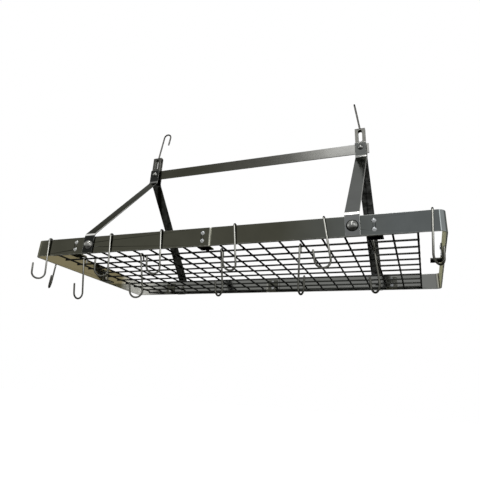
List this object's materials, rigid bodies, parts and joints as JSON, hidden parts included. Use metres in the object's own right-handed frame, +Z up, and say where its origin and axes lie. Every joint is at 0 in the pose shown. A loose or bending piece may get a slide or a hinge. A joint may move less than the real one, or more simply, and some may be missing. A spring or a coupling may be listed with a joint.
{
  "type": "pot rack",
  "caption": "Rectangular ceiling pot rack: a steel band round a wire grid, hung by bent straps from a top bar with hooked brackets, with sliding and swinging pot hooks.",
  "frame": {"origin": "the point midway between the two ceiling hooks' shank axes at the brackets, in the middle of the depth, at the height of the inside of the hooks' bends", "axes": "+X along the rack to the right seen from the front, +Y from the front to the rear, +Z up"},
  "size_m": [0.9436, 0.4953, 0.5454],
  "materials": {
    "frame_steel": "dark lacquered steel, glossy",
    "grid_steel": "dark lacquered wire, semi-gloss",
    "fastener_steel": "bright steel, glossy",
    "hook_steel": "lacquered steel wire, glossy"
  },
  "bodies": {
    "rack": {"frame_left_half": "frame_steel", "frame_right_half": "frame_steel", "grid_long_wires": "grid_steel", "grid_cross_wires": "grid_steel", "tab_front_left": "frame_steel", "tab_front_middle": "frame_steel", "tab_front_right": "frame_steel", "tab_rear_left": "frame_steel", "tab_rear_middle": "frame_steel", "tab_rear_right": "frame_steel", "tab_end_left": "frame_steel", "tab_end_right": "frame_steel", "tab_rivets": "fastener_steel", "lap_rivets": "fastener_steel", "strap_front_left": "frame_steel", "strap_front_right": "frame_steel", "strap_rear_left": "frame_steel", "strap_rear_right": "frame_steel", "strap_bolts": "fastener_steel", "strap_washers": "fastener_steel", "strap_nuts": "fastener_steel", "top_bar": "frame_steel", "hanger_bracket_left": "frame_steel", "hanger_bracket_right": "frame_steel", "apex_spacers": "fastener_steel", "apex_bolts": "fastener_steel", "apex_washers": "fastener_steel", "apex_nuts": "fastener_steel"},
    "band_hook_1": {"band_hook_1": "hook_steel"},
    "band_hook_2": {"band_hook_2": "hook_steel"},
    "band_hook_3": {"band_hook_3": "hook_steel"},
    "band_hook_4": {"band_hook_4": "hook_steel"},
    "band_hook_5": {"band_hook_5": "hook_steel"},
    "band_hook_6": {"band_hook_6": "hook_steel"},
    "grid_hook_1": {"grid_hook_1": "hook_steel"},
    "grid_hook_2": {"grid_hook_2": "hook_steel"},
    "grid_hook_3": {"grid_hook_3": "hook_steel"},
    "grid_hook_4": {"grid_hook_4": "hook_steel"},
    "grid_hook_5": {"grid_hook_5": "hook_steel"},
    "end_hook": {"end_hook": "hook_steel"},
    "ceiling_hook_left": {"ceiling_hook_left": "hook_steel"},
    "ceiling_hook_right": {"ceiling_hook_right": "hook_steel"}
  },
  "joints": [
    {"name": "band_hook_1_slide", "type": "slide", "parent": "rack", "child": "band_hook_1", "axis": [1, 0, 0], "range_m": [-0.014, 0.06]},
    {"name": "band_hook_2_slide", "type": "slide", "parent": "rack", "child": "band_hook_2", "axis": [1, 0, 0], "range_m": [-0.04, 0.045]},
    {"name": "band_hook_3_slide", "type": "slide", "parent": "rack", "child": "band_hook_3", "axis": [1, 0, 0], "range_m": [-0.045, 0.065]},
    {"name": "band_hook_4_slide", "type": "slide", "parent": "rack", "child": "band_hook_4", "axis": [1, 0, 0], "range_m": [-0.038, 0.07]},
    {"name": "band_hook_5_slide", "type": "slide", "parent": "rack", "child": "band_hook_5", "axis": [1, 0, 0], "range_m": [-0.07, 0.028]},
    {"name": "band_hook_6_slide", "type": "slide", "parent": "rack", "child": "band_hook_6", "axis": [1, 0, 0], "range_m": [-0.07, 0]},
    {"name": "end_hook_slide", "type": "slide", "parent": "rack", "child": "end_hook", "axis": [0, 1, 0], "range_m": [-0.05, 0.13]},
    {"name": "grid_hook_1_swing", "type": "hinge", "parent": "rack", "child": "grid_hook_1", "pos_m": [-0.351, -0.1724, -0.44195], "axis": [1, 0, 0], "range_deg": [-40, 40]},
    {"name": "grid_hook_2_swing", "type": "hinge", "parent": "rack", "child": "grid_hook_2", "pos_m": [-0.1875, -0.1724, -0.44195], "axis": [1, 0, 0], "range_deg": [-40, 40]},
    {"name": "grid_hook_3_swing", "type": "hinge", "parent": "rack", "child": "grid_hook_3", "pos_m": [0.015, -0.1724, -0.44195], "axis": [1, 0, 0], "range_deg": [-40, 40]},
    {"name": "grid_hook_4_swing", "type": "hinge", "parent": "rack", "child": "grid_hook_4", "pos_m": [0.1875, -0.1724, -0.44195], "axis": [1, 0, 0], "range_deg": [-40, 40]},
    {"name": "grid_hook_5_swing", "type": "hinge", "parent": "rack", "child": "grid_hook_5", "pos_m": [0.3295, -0.1724, -0.44195], "axis": [1, 0, 0], "range_deg": [-40, 40]},
    {"name": "ceiling_hook_left_swivel", "type": "hinge", "parent": "rack", "child": "ceiling_hook_left", "pos_m": [-0.299, 0, -0.0812], "axis": [0.1392, 0, 0.9903], "continuous": true},
    {"name": "ceiling_hook_right_swivel", "type": "hinge", "parent": "rack", "child": "ceiling_hook_right", "pos_m": [0.299, 0, -0.0812], "axis": [-0.1392, 0, 0.9903], "continuous": true}
  ]
}
